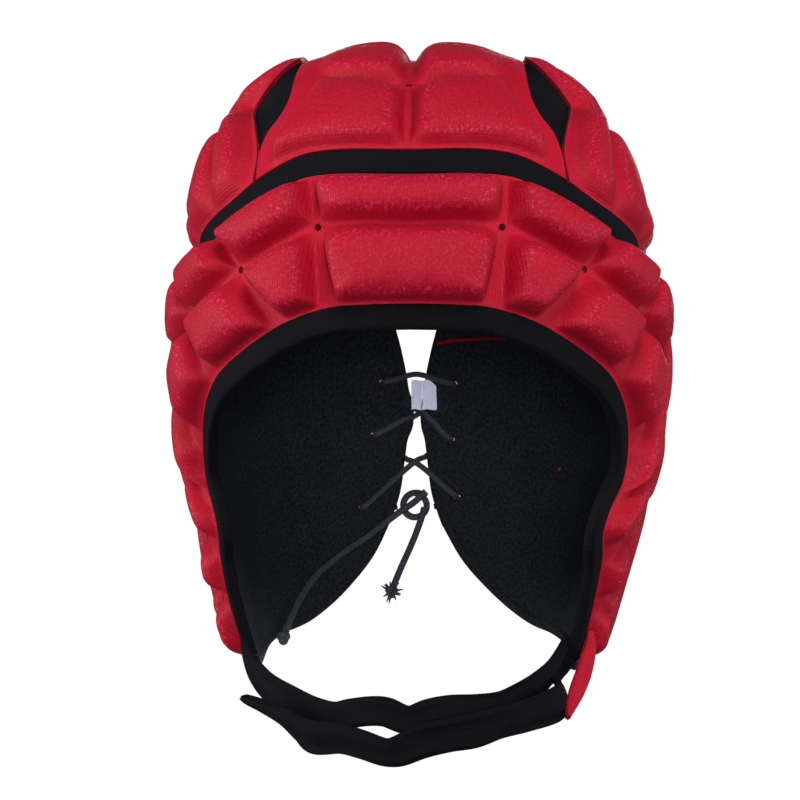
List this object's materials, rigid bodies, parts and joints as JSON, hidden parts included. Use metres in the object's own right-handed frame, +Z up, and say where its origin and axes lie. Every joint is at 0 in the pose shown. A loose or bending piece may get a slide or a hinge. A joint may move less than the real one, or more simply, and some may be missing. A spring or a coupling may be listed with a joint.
{
  "type": "padded head guard",
  "caption": "Soft quilted head guard for contact sport, with padded brow, crown and back panels, a laced rear slit and a chin strap of two lapped bands.",
  "frame": {"origin": "inside of the crown at its highest point, where the guard sits on the head", "axes": "+Z up through the crown, the face opening towards -Y, +X towards the right of the picture"},
  "size_m": [0.1974, 0.2182, 0.2711],
  "materials": {
    "red_mesh": "matte",
    "black_knit": "matte",
    "black_lining": "matte",
    "black_cord": "satin",
    "white_tag": "satin"
  },
  "bodies": {
    "root": {"brow_panel": "red_mesh", "brow_lining": "black_lining", "crown_centre": "red_mesh", "crown_centre_lining": "black_lining", "crown_left": "red_mesh", "crown_left_lining": "black_lining", "crown_right": "red_mesh", "crown_right_lining": "black_lining", "crown_band": "black_knit", "back_left": "red_mesh", "back_left_lining": "black_lining", "nape_binding_left": "black_knit", "back_right": "red_mesh", "back_right_lining": "black_lining", "nape_binding_right": "black_knit", "face_binding": "black_knit", "chin_strap_loop": "black_knit", "chin_strap_hook": "black_knit", "chin_tab": "red_mesh", "lace": "black_cord", "lace_knot": "black_cord", "lace_end_long": "black_cord", "lace_end_short": "black_cord", "lace_tip_long": "black_cord", "lace_tip_short": "black_cord", "label": "white_tag"}
  },
  "joints": []
}
